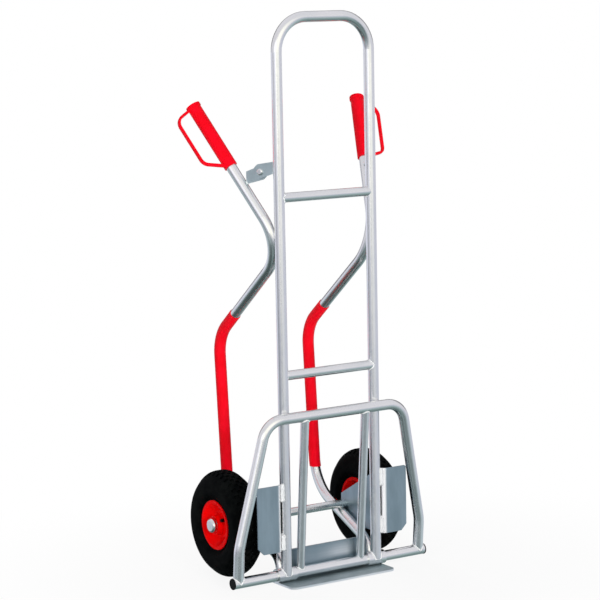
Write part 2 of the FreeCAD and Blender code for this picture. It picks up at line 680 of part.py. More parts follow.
def rod(name, radius, height, placement):
    cylinder = doc.addObject("Part::Cylinder", name)
    bind(cylinder, "Radius", radius)
    bind(cylinder, "Height", height)
    cylinder.Placement = placement
    return cylinder


def group(label, members):
    """Several like solids under one node."""
    compound = doc.addObject("Part::Compound", label)
    compound.Links = members
    compound.Label = label
    return compound


def stay_bolts():
    """Round-headed bolts, each revolved about its own axis."""
    bolts = []
    tail = "(-stay_thickness - stay_nut_height - 2)"
    shank = "(stay_bolt_diameter / 2)"
    head = "(stay_dome_width / 2)"
    top = "(stay_thickness + stay_dome_height)"
    for side in (-1, 1):
        body = new_body("stay_bolt_" + side_name(side))
        section = new_sketch(body, "section", "XY_Plane")
        outline(section, [
            (tail, "0"),
            (tail, shank),
            ("stay_thickness", shank),
            ("stay_thickness", head),
            (top, head, "(stay_dome_height * 0.9)"),
            (top, "0"),
        ])
        revolve(body, "bolt", section)
        body.Placement = across_stay(side, "0", Vector(1, 0, 0))
        bolts.append(body)
    return group("stay_bolts", bolts)


def stay_nuts():
    nuts = []
    for side in (-1, 1):
        place = across_stay(side, "(-stay_thickness - stay_nut_height)")
        blank = hexagon("nut_blank_" + side_name(side), "stay_nut_height", place)
        bore = rod("nut_bore_" + side_name(side), "(stay_bolt_diameter / 2 + axle_fit)", "stay_nut_height", place)
        nut = doc.addObject("Part::Cut", "stay_nut_" + side_name(side))
        nut.Base = blank
        nut.Tool = bore
        nuts.append(nut)
    return group("stay_nuts", nuts)


# --------------------------------------------------------------------------------------
# Side brackets and axle
# --------------------------------------------------------------------------------------
def side_bracket(side):
    """One bent sheet: gusset round the axle, slanted strip and wheel guard."""
    body = new_body("side_bracket_" + side_name(side))
    plan = new_sketch(body, "plan", "XY_Plane", "guard_low")
    strip = f"({BRACKET_INNER} + guard_bend_run)"
    shift = "(bracket_thickness * tan(22.5))"
    inner_bend = "guard_bend_radius"
    outer_bend = "(guard_bend_radius + bracket_thickness)"
    outline(plan, [
        (sided(side, BRACKET_INNER), "gusset_reach"),
        (sided(side, BRACKET_INNER), "(guard_bend_run - guard_advance)", outer_bend),
        (sided(side, strip), "(-guard_advance)", outer_bend),
        (sided(side, "guard_outer"), "(-guard_advance)"),
        (sided(side, "guard_outer"), "(bracket_thickness - guard_advance)"),
        (sided(side, f"({strip} + {shift})"), "(bracket_thickness - guard_advance)", inner_bend),
        (sided(side, BRACKET_OUTER), f"(guard_bend_run - guard_advance + {shift})", inner_bend),
        (sided(side, BRACKET_OUTER), "gusset_reach"),
    ])
    pad(body, "sheet", plan, "(guard_high - guard_low)")
    above = new_sketch(body, "top_edge", "YZ_Plane")
    beyond = "(gusset_reach + 5)"
    outline(above, [
        ("(guard_bend_run - guard_advance)", "guard_high"),
        ("gusset_reach", "gusset_rear_height"),
        (beyond, "gusset_rear_height"),
        (beyond, "(guard_high + 5)"),
        ("(guard_bend_run - guard_advance)", "(guard_high + 5)"),
    ])
    pocket(body, "top_cut", above)
    below = new_sketch(body, "low_edge", "YZ_Plane")
    foot = f"(axle_setback - ({AXLE_HEIGHT} - {ARM_DROP} - guard_low) / tan(arm_angle))"
    outline(below, [
        (foot, "guard_low"),
        (foot, "(guard_low - 5)"),
        (beyond, "(guard_low - 5)"),
        (beyond, arm_height(beyond)),
    ])
    pocket(body, "low_cut", below)
    hole = new_sketch(body, "axle_hole", "YZ_Plane")
    circle(hole, "axle_setback", AXLE_HEIGHT, f"({AXLE_RADIUS} + axle_fit)")
    pocket(body, "axle_cut", hole)
    corners = new_sketch(body, "corner_cuts", "XZ_Plane")
    out = "(guard_outer + 4)"
    outline(corners, [
        (sided(side, "(guard_outer - guard_corner_cut)"), "guard_low"),
        (sided(side, "guard_outer"), "(guard_low + guard_corner_cut)"),
        (sided(side, out), "(guard_low + guard_corner_cut)"),
        (sided(side, out), "(guard_low - 4)"),
        (sided(side, "(guard_outer - guard_corner_cut)"), "(guard_low - 4)"),
    ])
    turn = "(guard_corner_radius * 2)"
    outline(corners, [
        (sided(side, "guard_outer"), f"(guard_high - {turn})"),
        (sided(side, "guard_outer"), "guard_high", "guard_corner_radius"),
        (sided(side, f"(guard_outer - {turn})"), "guard_high"),
        (sided(side, f"(guard_outer - {turn})"), "(guard_high + 4)"),
        (sided(side, out), "(guard_high + 4)"),
        (sided(side, out), f"(guard_high - {turn})"),
    ])
    pocket(body, "corners", corners)
    slot = new_sketch(body, "slot", "XZ_Plane")
    near = f"({BRACKET_INNER} - guard_slot_lap)"
    far = f"({near} + guard_slot_width)"
    ends = "(guard_slot_width * 0.45)"
    outline(slot, [
        (sided(side, near), "guard_slot_low", ends),
        (sided(side, far), "guard_slot_low", ends),
        (sided(side, far), "guard_slot_high", ends),
        (sided(side, near), "guard_slot_high", ends),
    ])
    pocket(body, "slot_cut", slot, "(guard_advance * 2)", SideType="Symmetric")
    return body


AXLE_HALF = f"({CAP_INNER} + axle_cap_height - axle_cap_wall)"


def axle():
    body = new_body("axle")
    section = new_sketch(body, "section", "YZ_Plane")
    circle(section, "axle_setback", AXLE_HEIGHT, AXLE_RADIUS)
    pad(body, "bar", section, f"(2 * {AXLE_HALF} - 1)", SideType="Symmetric")
    return body


def axle_rings(label, inner_end, length, radius):
    """A ring on the axle at each side."""
    body = new_body(label)
    body.AllowCompound = True
    section = new_sketch(body, "section", "YZ_Plane", inner_end)
    circle(section, "axle_setback", AXLE_HEIGHT, radius)
    circle(section, "axle_setback", AXLE_HEIGHT, f"({AXLE_RADIUS} + axle_fit)")
    ring = pad(body, "ring", section, length)
    mirror = feature(body, "Mirrored", "pair", Originals=[ring])
    plane = next(item for item in body.Origin.OriginFeatures if item.Role == "YZ_Plane")
    mirror.MirrorPlane = (plane, [""])
    return body


def axle_cap(side):
    """Domed push-on cap, revolved about the axle."""
    body = new_body("axle_cap_" + side_name(side))
    section = new_sketch(body, "section", "XY_Plane")
    bore = f"({AXLE_RADIUS} + axle_fit)"
    inside = "(axle_cap_height - axle_cap_wall)"
    outline(section, [
        ("0", bore),
        ("0", "(axle_cap_diameter / 2)"),
        ("axle_cap_height", "(axle_cap_diameter / 2)", "axle_cap_radius"),
        ("axle_cap_height", "0"),
        (inside, "0"),
        (inside, bore),
    ])
    revolve(body, "dome", section)
    place = Vector(side * number(CAP_INNER), number("axle_setback"), number(AXLE_HEIGHT))
    body.Placement = Placement(place, Rotation(Vector(0, 0, 1), 0 if side > 0 else 180))
    return body


# --------------------------------------------------------------------------------------
# Folding shovel, built upright about its hinge axis and then leaned against the legs
# --------------------------------------------------------------------------------------
def shovel_placement():
    lean = math.degrees(math.asin(number("(tube_diameter + shovel_rest_gap + hinge_setback) / shovel_height")))
    return Placement(Vector(0, number("hinge_setback"), number(HINGE_HEIGHT)), Rotation(Vector(1, 0, 0), lean))


def shovel_cross_tube():
    body = new_body("shovel_cross_tube")
    section = new_sketch(body, "section", "YZ_Plane")
    circle(section, "0", "0", TUBE_RADIUS)
    circle(section, "0", "0", TUBE_BORE)
    pad(body, "tube", section, "(2 * shovel_half_length)", SideType="Symmetric")
    body.Placement = shovel_placement()
    return body


def shovel_bow_tube():
    body = new_body("shovel_bow_tube")
    foot = sided(-1, "shovel_foot_offset")
    top = sided(-1, "shovel_top_offset")
    corners = [
        (foot, "0"),
        (foot, "shovel_waist", "shovel_waist_radius"),
        (top, "shovel_height", "shovel_corner_radius"),
        ("shovel_top_offset", "shovel_height", "shovel_corner_radius"),
        ("shovel_foot_offset", "shovel_waist", "shovel_waist_radius"),
        ("shovel_foot_offset", "0"),
    ]
    bent_tube(body, "bow", "XZ_Plane", "0", corners, "XY_Plane", "0", (foot, "0"), (TUBE_RADIUS, TUBE_BORE))
    cope(body, "foot_seat", "YZ_Plane", "0", "0", TUBE_RADIUS)
    body.Placement = shovel_placement()
    return body


def shovel_bar(side):
    body = new_body("shovel_bar_" + side_name(side))
    section = new_sketch(body, "section", "XY_Plane")
    circle(section, sided(side, "shovel_bar_offset"), "0", "(shovel_bar_diameter / 2)")
    circle(section, sided(side, "shovel_bar_offset"), "0", "(shovel_bar_diameter / 2 - shovel_bar_wall)")
    pad(body, "tube", section, "shovel_height")
    cope(body, "foot_seat", "YZ_Plane", "0", "0", TUBE_RADIUS)
    cope(body, "top_seat", "YZ_Plane", "0", "shovel_height", TUBE_RADIUS)
    body.Placement = shovel_placement()
    return body


def cross_tube_plug(side):
    """Plastic end plug: a rounded head and a hollow insert."""
    body = new_body("cross_tube_plug_" + side_name(side))
    section = new_sketch(body, "section", "XY_Plane")
    start = "shovel_half_length"
    end = f"({start} + plug_head_length)"
    head = f"({TUBE_RADIUS} + plug_head_rim)"
    insert = f"({TUBE_BORE} - axle_fit)"
    hollow = f"({insert} - plug_wall)"
    outline(section, [
        (sided(side, end), "0"),
        (sided(side, end), head, "(plug_head_length / 3)"),
        (sided(side, start), head),
        (sided(side, start), insert),
        (sided(side, f"({start} - plug_insert_length)"), insert),
        (sided(side, f"({start} - plug_insert_length)"), hollow),
        (sided(side, f"({start} + plug_wall)"), hollow),
        (sided(side, f"({start} + plug_wall)"), "0"),
    ])
    revolve(body, "plug", section)
    body.Placement = shovel_placement()
    return body


# --------------------------------------------------------------------------------------
# Wheels, built about their own X axis with +X on the outer side
# --------------------------------------------------------------------------------------
TYRE_RADIUS = "(wheel_diameter / 2)"
SEAT_RADIUS = "(rim_seat_diameter / 2)"
RIM_RADIUS = "(rim_edge_diameter / 2)"
BEAD_OUTER = "(rim_width / 2 - rim_wall)"
BEAD_INNER = f"({BEAD_OUTER} - bead_width)"


def wheel_placement(side):
    """Outer side out, valve forward on the left wheel and backward on the right one."""
    place = Vector(side * number("wheel_offset"), number("axle_setback"), number(AXLE_HEIGHT))
    turn = Rotation(Vector(0, 0, 1), 0 if side > 0 else 180)
    return Placement(place, turn * Rotation(Vector(1, 0, 0), -60))


def place_wheel_part(body, side):
    body.Placement = wheel_placement(side)
    return body


def cavity(gap):
    """Corners of the hollow inside the tyre, drawn in by a gap, from one bead to the other."""
    half = f"(tyre_width / 2 - tyre_wall - {gap})"
    crown = f"(tyre_crown / 2 - tyre_wall / 2 - {gap})"
    top = f"({TYRE_RADIUS} - tyre_wall - tread_depth - {gap})"
    shoulder = f"({TYRE_RADIUS} - tyre_shoulder_drop)"
    foot = f"({TYRE_RADIUS} - tyre_side_drop + tyre_wall / 2)"
    neck = f"({BEAD_INNER} - {gap})"
    bottom = f"({SEAT_RADIUS} + bead_height)"
    inner_radius = "(tyre_shoulder_radius - tyre_wall)"
    return [
        (f"(-{neck})", bottom),
        (f"(-{half})", foot, "(tyre_wall + 3)"),
        (f"(-{half})", shoulder, inner_radius),
        (f"(-{crown})", top, "tyre_wall"),
        (crown, top, "tyre_wall"),
        (half, shoulder, inner_radius),
        (half, foot, "(tyre_wall + 3)"),
        (neck, bottom),
    ]


def tread_floor(across):
    """Radius of the floor between the tread's blocks at a distance from the centre plane."""
    fall_angle = "atan(tyre_shoulder_drop / (tyre_width / 2 - tyre_crown / 2))"
    flat = f"(tyre_crown / 2 - tyre_shoulder_radius * tan({fall_angle} / 2))"
    fall = f"(tyre_shoulder_radius - sqrt(tyre_shoulder_radius ^ 2 - ({across} - {flat}) ^ 2))"
    return f"({TYRE_RADIUS} - {fall} - tread_depth)"


def tread_gaps(body, phase):
    """Gaps between the blocks of every second row, a half pitch on from the rows beside them."""
    sketch = new_sketch(body, f"gaps_{phase}", "XY_Plane")
    if phase == 1:
        sketch.AttachmentOffset = Placement(Vector(), Rotation(Vector(1, 0, 0), number("180 / tread_pitches")))
        bind(sketch, ".AttachmentOffset.Rotation.Angle", "180 / tread_pitches")
    clear = f"({TYRE_RADIUS} + 1)"
    half_rows = int(number("tread_rows")) // 2
    for row in range(phase - half_rows, half_rows, 2):
        edges = [f"({row + step} * tread_row_width)" for step in (0, 1)]
        depths = [tread_floor(f"({abs(row + step)} * tread_row_width)") for step in (0, 1)]
        outline(sketch, [(edges[0], depths[0]), (edges[1], depths[1]), (edges[1], clear), (edges[0], clear)])
    gap = revolve(body, f"gap_{phase}", sketch, "Groove")
    gap.Midplane = True
    bind(gap, "Angle", "360 / tread_pitches * tread_gap_share")
    return gap


def tyre(side):
    """Tyre with staggered tread blocks, patterned around the wheel's axis."""
    body = new_body("tyre_" + side_name(side))
    section = new_sketch(body, "section", "XY_Plane")
    half = "(tyre_width / 2)"
    crown = "(tyre_crown / 2)"
    shoulder = f"({TYRE_RADIUS} - tyre_shoulder_drop)"
    foot = f"({TYRE_RADIUS} - tyre_side_drop)"
    bead_top = f"({SEAT_RADIUS} + bead_height)"
    bend = "(tyre_wall * 2)"
    inside = cavity("0")
    outline(section, [
        (BEAD_OUTER, SEAT_RADIUS),
        (BEAD_OUTER, bead_top),
        (half, foot, bend),
        (half, shoulder, "tyre_shoulder_radius"),
        (crown, TYRE_RADIUS, "tyre_shoulder_radius"),
        (f"(-{crown})", TYRE_RADIUS, "tyre_shoulder_radius"),
        (f"(-{half})", shoulder, "tyre_shoulder_radius"),
        (f"(-{half})", foot, bend),
        (f"(-{BEAD_OUTER})", bead_top),
        (f"(-{BEAD_OUTER})", SEAT_RADIUS),
        (f"(-{BEAD_INNER})", SEAT_RADIUS),
        *inside,
        (BEAD_INNER, SEAT_RADIUS),
    ])
    revolve(body, "carcass", section)
    gaps = [tread_gaps(body, phase) for phase in (0, 1)]
    tread = feature(body, "PolarPattern", "tread", Originals=gaps)
    wheel_axis = next(item for item in body.Origin.OriginFeatures if item.Role == "X_Axis")
    tread.Axis = (wheel_axis, [""])
    tread.Angle = 360
    bind(tread, "Occurrences", "tread_pitches")
    return place_wheel_part(body, side)


def inner_tube(side):
    """Air tube that fills the tyre, with a wall of its own."""
    body = new_body("inner_tube_" + side_name(side))
    outer = new_sketch(body, "outer", "XY_Plane")
    gap = "inner_tube_gap"
    outline(outer, cavity(gap))
    revolve(body, "bladder", outer)
    hollow = new_sketch(body, "hollow", "XY_Plane")
    inside = cavity(f"({gap} + inner_tube_wall)")
    floor = f"({SEAT_RADIUS} + bead_height + inner_tube_wall)"
    inside[0] = (inside[0][0], floor)
    inside[-1] = (inside[-1][0], floor)
    outline(hollow, inside)
    revolve(body, "air", hollow, "Groove")
    return place_wheel_part(body, side)


def rim(side):
    """Plastic rim: barrel with flanges, a dish that joins the hub to its outer edge, and ribs behind the dish."""
    body = new_body("rim_" + side_name(side))
    section = new_sketch(body, "section", "XY_Plane")
    flange = "(rim_width / 2)"
    flange_bore = f"({SEAT_RADIUS} - rim_wall + 3)"
    well = "(rim_well_width / 2)"
    well_radius = f"({SEAT_RADIUS} - rim_well_depth)"
    well_bore = f"({well_radius} - rim_wall)"
    hub = "(hub_length / 2)"
    hub_radius = "(hub_diameter / 2)"
    hub_foot = f"({hub_radius} + 2)"
    pocket_start = "(hub_length / 2 - bearing_length)"
    bearing = "(bearing_diameter / 2)"
    core = f"({AXLE_RADIUS} + 2)"
    dish_back = "(rim_dish_floor - rim_web)"
    dish_slope = f"(({flange} - rim_dish_floor) / ({flange_bore} - {hub_foot}))"
    dish_end = f"({dish_back} + {dish_slope} * ({well_bore} - {hub_foot}))"
    outline(section, [
        (well, well_radius),
        (f"({well} + 4)", SEAT_RADIUS),
        (BEAD_OUTER, SEAT_RADIUS),
        (BEAD_OUTER, RIM_RADIUS, "(rim_wall * 0.4)"),
        (flange, RIM_RADIUS, "(rim_wall * 0.4)"),
        (flange, flange_bore, "rim_edge_round"),
        ("rim_dish_floor", hub_foot, "rim_dish_radius"),
        (hub, hub_radius),
        (hub, bearing),
        (pocket_start, bearing),
        (pocket_start, core),
        (f"(-{pocket_start})", core),
        (f"(-{pocket_start})", bearing),
        (f"(-{hub})", bearing),
        (f"(-{hub})", hub_radius),
        (dish_back, hub_foot),
        (dish_end, well_bore),
        (f"(-{well})", well_bore),
        (f"(-{flange})", flange_bore),
        (f"(-{flange})", RIM_RADIUS, "(rim_wall * 0.4)"),
        (f"(-{BEAD_OUTER})", RIM_RADIUS, "(rim_wall * 0.4)"),
        (f"(-{BEAD_OUTER})", SEAT_RADIUS),
        (f"(-{well} - 4)", SEAT_RADIUS),
        (f"(-{well})", well_radius),
    ])
    revolve(body, "barrel", section)
    rib = new_sketch(body, "rib", "XY_Plane")
    outline(rib, [
        (f"(-{flange} + 7)", f"({hub_radius} - 1)"),
        (f"({dish_back} + rim_web / 2)", f"({hub_radius} - 1)"),
        (f"({dish_end} + rim_web / 2)", f"({well_bore} + 1)"),
        (f"(-{well} - 1)", f"({well_bore} + 1)"),
        (f"(-{flange} + 7)", f"({flange_bore} + 1)"),
    ])
    spoke = pad(body, "spoke", rib, "(rim_rib_width / 2)", SideType="Symmetric")
    spokes = feature(body, "PolarPattern", "spokes", Originals=[spoke], Axis=(section, ["H_Axis"]), Angle=360)
    bind(spokes, "Occurrences", "rim_ribs")
    doc.recompute()
    hole = new_sketch(body, "valve_hole", "XY_Plane", f"({well_bore} - 1)")
    circle(hole, "valve_offset", "0", "(valve_diameter / 2 + valve_clearance)")
    pocket(body, "valve_cut", hole, f"({SEAT_RADIUS} - {well_bore} + 3)", Reversed=True)
    window = new_sketch(body, "window", "YZ_Plane")
    circle(window, "0", "valve_radius", "(valve_window / 2)")
    pocket(body, "window_cut", window, flange, Reversed=True)
    return place_wheel_part(body, side)


def valve(side):
    """Valve stem that bends outward through the dish of the rim."""
    body = new_body("valve_" + side_name(side))
    root = f"({SEAT_RADIUS} + bead_height - valve_seat_gap)"
    bent_tube(body, "stem", "XZ_Plane", "0", [
        ("valve_offset", root),
        ("valve_offset", "valve_radius", "valve_bend"),
        ("valve_reach", "valve_radius"),
    ], "XY_Plane", root, ("valve_offset", "0"), ["(valve_diameter / 2)"])
    return place_wheel_part(body, side)


def bearings(side):
    body = new_body("bearings_" + side_name(side))
    body.AllowCompound = True
    section = new_sketch(body, "section", "YZ_Plane", "(hub_length / 2 - bearing_length)")
    circle(section, "0", "0", "(bearing_diameter / 2)")
    circle(section, "0", "0", f"({AXLE_RADIUS} + bearing_clearance)")
    ring = pad(body, "ring", section, "bearing_length")
    mirror = feature(body, "Mirrored", "pair", Originals=[ring])
    plane = next(item for item in body.Origin.OriginFeatures if item.Role == "YZ_Plane")
    mirror.MirrorPlane = (plane, [""])
    return place_wheel_part(body, side)


# --------------------------------------------------------------------------------------
# Assembly, checks and export
# --------------------------------------------------------------------------------------
PAIRS = [
    hinge_knuckle, runner_tube, slide_sleeve, grip, stay_leg_lug, stay_handle_lug, side_bracket, axle_cap,
    shovel_bar, cross_tube_plug, tyre, inner_tube, rim, valve, bearings,
]
nodes = [
    main_frame_tube(),
    crossbar("upper_crossbar", "upper_crossbar_height"),
    crossbar("lower_crossbar", "lower_crossbar_height"),
    toe_plate(),
    stay_bolts(),
    stay_nuts(),
    axle(),
    axle_rings("axle_spacers", BRACKET_OUTER, f"({HUB_INNER} - side_play - {BRACKET_OUTER})",
               "(spacer_diameter / 2)"),
    axle_rings("axle_washers", WASHER_INNER, "washer_thickness", "(washer_diameter / 2)"),
    shovel_cross_tube(),
    shovel_bow_tube(),
]
for make in PAIRS:
    for side in (-1, 1):
        nodes.append(make(side))
doc.recompute()

broken = [item.Name for item in doc.Objects if "Invalid" in item.State or "Error" in item.State]
if broken:
    raise RuntimeError("objects in error: " + ", ".join(broken))
for node in nodes:
    shape = node.Shape
    if shape.isNull() or not shape.isValid() or not shape.Solids:
        raise RuntimeError("bad shape: " + node.Label)
    shape.exportStep(os.path.join("parts", node.Label + ".step"))
    box = shape.BoundBox
    print(f"{node.Label:24s} solids {len(shape.Solids)} volume {shape.Volume / 1000:9.2f} cm3 "
          f"X {box.XMin:8.2f} {box.XMax:8.2f} Y {box.YMin:8.2f} {box.YMax:8.2f} Z {box.ZMin:8.2f} {box.ZMax:8.2f}")
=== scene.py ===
import math

import bmesh
import bpy
from mathutils import Matrix, Vector
from mathutils.bvhtree import BVHTree


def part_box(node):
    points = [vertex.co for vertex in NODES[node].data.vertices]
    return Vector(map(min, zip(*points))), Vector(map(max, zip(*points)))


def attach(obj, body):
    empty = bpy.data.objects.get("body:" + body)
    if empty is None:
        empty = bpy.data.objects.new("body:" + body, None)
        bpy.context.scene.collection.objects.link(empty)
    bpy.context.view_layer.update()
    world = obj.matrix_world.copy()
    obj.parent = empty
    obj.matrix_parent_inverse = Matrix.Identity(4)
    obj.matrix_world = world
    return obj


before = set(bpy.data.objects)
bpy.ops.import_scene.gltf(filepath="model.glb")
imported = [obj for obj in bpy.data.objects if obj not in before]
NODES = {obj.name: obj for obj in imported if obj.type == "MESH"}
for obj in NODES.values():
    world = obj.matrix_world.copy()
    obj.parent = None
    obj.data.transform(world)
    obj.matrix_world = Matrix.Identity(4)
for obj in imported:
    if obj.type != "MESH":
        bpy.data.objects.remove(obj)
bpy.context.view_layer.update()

SIDES = ("left", "right")
WHITE = (1, 1, 1)


# --------------------------------------------------------------------------------------
# Node tree steps that the world, the floor and the materials share
# --------------------------------------------------------------------------------------
def feed(tree, socket, value):
    """Give a socket a number, an RGB colour or another node's output."""
    if isinstance(value, tuple):
        socket.default_value = (*value, 1)
    elif isinstance(value, (int, float)):
        socket.default_value = value
    else:
        tree.links.new(value, socket)


def combine(tree, operation, *values):
    item = tree.nodes.new("ShaderNodeMath")
    item.operation = operation
    for socket, value in zip(item.inputs, values):
        feed(tree, socket, value)
    return item.outputs[0]


def map_range(tree, value, low, high, to_low, to_high, curve="SMOOTHSTEP"):
    item = tree.nodes.new("ShaderNodeMapRange")
    item.interpolation_type = curve
    ends = {"Value": value, "From Min": low, "From Max": high, "To Min": to_low, "To Max": to_high}
    for socket, end in ends.items():
        feed(tree, item.inputs[socket], end)
    return item.outputs["Result"]


def mix_colours(tree, factor, first, second):
    item = tree.nodes.new("ShaderNodeMix")
    item.data_type = "RGBA"
    feed(tree, item.inputs["Factor"], factor)
    sockets = [socket for socket in item.inputs if socket.type == "RGBA"]
    for socket, colour in zip(sockets, (first, second)):
        feed(tree, socket, colour)
    return next(socket for socket in item.outputs if socket.type == "RGBA")


def colour_ramp(tree, value, stops):
    """Colour by a value from 0 to 1; stops are (value, RGB) pairs in rising order."""
    item = tree.nodes.new("ShaderNodeValToRGB")
    marks = item.color_ramp.elements
    while len(marks) < len(stops):
        marks.new(0.5)
    for mark, (position, colour) in zip(marks, stops):
        mark.position = position
        mark.color = (*colour, 1)
    feed(tree, item.inputs[0], value)
    return item.outputs["Color"]


def mix_shaders(tree, factor, first, second):
    item = tree.nodes.new("ShaderNodeMixShader")
    for socket, value in zip(item.inputs, (factor, first, second)):
        feed(tree, socket, value)
    return item.outputs[0]


def glow(tree, kind, colour, strength):
    """Background or Emission of one colour and strength."""
    item = tree.nodes.new(kind)
    feed(tree, item.inputs["Color"], colour)
    feed(tree, item.inputs["Strength"], strength)
    return item.outputs[0]


# --------------------------------------------------------------------------------------
# Camera, as fitted to the photograph's view
# --------------------------------------------------------------------------------------
CAMERA_PLACE = Vector((-2.8309, -4.2313, 1.3776))
CAMERA_TURN = math.radians(-33.07)
CAMERA_RISE = math.radians(8.04)
CAMERA_ROLL = math.radians(-1.11)
CAMERA_LENS = 132.9
SENSOR_WIDTH = 36.0
CAMERA_REACH = 40.0


def add_camera():
    data = bpy.data.cameras.new("camera")
    data.lens = CAMERA_LENS
    data.sensor_width = SENSOR_WIDTH
    data.clip_end = CAMERA_REACH
    camera = bpy.data.objects.new("camera", data)
    aim = Vector((
        -math.sin(CAMERA_TURN) * math.cos(CAMERA_RISE),
        math.cos(CAMERA_TURN) * math.cos(CAMERA_RISE),
        -math.sin(CAMERA_RISE),
    ))
    right = aim.cross(Vector((0, 0, 1))).normalized()
    up = right.cross(aim)
    axes = Matrix((right, up, -aim)).transposed().to_4x4()
    roll = Matrix.Rotation(CAMERA_ROLL, 4, "Z")
    camera.matrix_world = Matrix.Translation(CAMERA_PLACE) @ axes @ roll
    bpy.context.scene.collection.objects.link(camera)
    bpy.context.scene.camera = camera


# --------------------------------------------------------------------------------------
# Lamps for the matt surfaces: name, place, height of the aim on the truck's axis, width,
# height and watts. Metal doesn't mirror them; it mirrors the studio that the world describes.
# --------------------------------------------------------------------------------------
LAMPS = (
    ("key", (-1.05, -4.2, 1.3), 0.55, 1.2, 1.4, 126),
    ("side", (-3.6, -2.1, 1.3), 0.45, 0.9, 1.2, 40),
    ("fill", (3.0, -2.4, 1.6), 0.65, 1.8, 2.4, 8),
    ("back", (0.9, 4.0, 1.8), 0.65, 1.4, 1.6, 60),
    ("top", (0, 1.2, 3.6), 0.6, 2.6, 2.6, 26),
)


def add_lamp(name, place, aim_height, width, height, watts):
    data = bpy.data.lights.new(name, "AREA")
    data.shape = "RECTANGLE"
    data.size = width
    data.size_y = height
    data.energy = watts
    lamp = bpy.data.objects.new(name, data)
    lamp.location = place
    aim = Vector((0, 0, aim_height)) - Vector(place)
    lamp.rotation_euler = aim.to_track_quat("-Z", "Y").to_euler()
    lamp.visible_glossy = False
    bpy.context.scene.collection.objects.link(lamp)


# --------------------------------------------------------------------------------------
# World: plain white to the eye, a studio to mirrors
# --------------------------------------------------------------------------------------
# The studio's colour by the height of the direction, where 0 is straight down and 1 straight up
ROOM = (
    (0.03, (0.12, 0.17, 0.17)), (0.14, (0.24, 0.32, 0.32)), (0.31, (0.45, 0.55, 0.57)),
    (0.42, (0.59, 0.60, 0.70)), (0.56, (0.76, 0.75, 0.79)),
)
# Patches of the studio: the level heading in degrees from -Y towards +X, the cosines of the angles
# from it at which the patch starts and is full, its strength, and the windows that fade it by the
# direction's Z, each as (low, high, share at low, share at high)
SOFT_BOX = (-15.0, 0.62, 0.92, 1.0, ((-0.17, -0.04, 0, 1),))
STRIP = (-62.0, 0.86, 0.96, 0.6, ((-0.17, -0.05, 0.25, 1),))
FAR_STRIP = (-150.0, 0.75, 0.95, 0.35, ((-0.22, -0.12, 0, 1), (-0.09, 0.0, 1, 0)))
DIM_LEFT = (-80.0, 0.4, 0.88, 0.6, ((-0.18, -0.02, 1, 0.12), (-0.36, -0.26, 0, 1)))
DIM_FLOOR_LEFT = (-115.0, 0.2, 0.5, 0.68, ((-0.48, -0.34, 1, 0),))
DIM_FLOOR_FRONT = (-12.0, 0.6, 0.82, 0.55, ((-0.36, -0.24, 1, 0),))
DIM_REAR = (147.0, 0.3, 0.8, 0.78, ((0.0, 0.08, 0, 1), (0.4, 0.7, 1, 0)))
SOFT_BOX_COLOUR = (1.20, 1.18, 1.08)
AMBIENT = 0.22


def add_patch(tree, direction, height, patch):
    """How strongly a patch of the studio shows in a direction."""
    heading, start, full, strength, windows = patch
    angle = math.radians(heading)
    nearness = tree.nodes.new("ShaderNodeVectorMath")
    nearness.operation = "DOT_PRODUCT"
    nearness.inputs[1].default_value = (math.sin(angle), -math.cos(angle), 0)
    tree.links.new(direction, nearness.inputs[0])
    share = map_range(tree, nearness.outputs["Value"], start, full, 0, strength)
    for window in windows:
        share = combine(tree, "MULTIPLY", share, map_range(tree, height, *window))
    return share


def add_world():
    world = bpy.data.worlds.new("studio")
    bpy.context.scene.world = world
    world.use_nodes = True
    tree = world.node_tree
    tree.nodes.clear()
    rays = tree.nodes.new("ShaderNodeLightPath").outputs
    direction = tree.nodes.new("ShaderNodeTexCoord").outputs["Generated"]
    split = tree.nodes.new("ShaderNodeSeparateXYZ")
    tree.links.new(direction, split.inputs[0])
    height = split.outputs["Z"]

    strength = 1.0
    for patch in (DIM_LEFT, DIM_FLOOR_LEFT, DIM_FLOOR_FRONT, DIM_REAR):
        kept = combine(tree, "SUBTRACT", 1.0, add_patch(tree, direction, height, patch))
        strength = combine(tree, "MULTIPLY", strength, kept)
    for patch in (STRIP, FAR_STRIP):
        strength = combine(tree, "ADD", strength, add_patch(tree, direction, height, patch))
    room = colour_ramp(tree, combine(tree, "MULTIPLY_ADD", height, 0.5, 0.5), ROOM)
    box = add_patch(tree, direction, height, SOFT_BOX)
    studio = mix_colours(tree, box, room, SOFT_BOX_COLOUR)
    mirrored = glow(tree, "ShaderNodeBackground", studio, strength)
    ambient = glow(tree, "ShaderNodeBackground", WHITE, AMBIENT)
    seen = glow(tree, "ShaderNodeBackground", WHITE, 1.0)

    on_object = mix_shaders(tree, rays["Is Glossy Ray"], ambient, mirrored)
    to_eye = combine(tree, "MAXIMUM", rays["Is Camera Ray"], rays["Is Transmission Ray"])
    out = tree.nodes.new("ShaderNodeOutputWorld")
    tree.links.new(mix_shaders(tree, to_eye, on_object, seen), out.inputs[0])


# --------------------------------------------------------------------------------------
# Floor: pale, with the truck's soft shadow, fading to white further out
# --------------------------------------------------------------------------------------
FLOOR_HALF = 9.0
FLOOR_DROP = 0.0005
FLOOR_TONE = (0.86, 0.86, 0.86)
FADE_FROM, FADE_TO = 0.25, 1.1
WHITE_SHARE_NEAR = 0.9


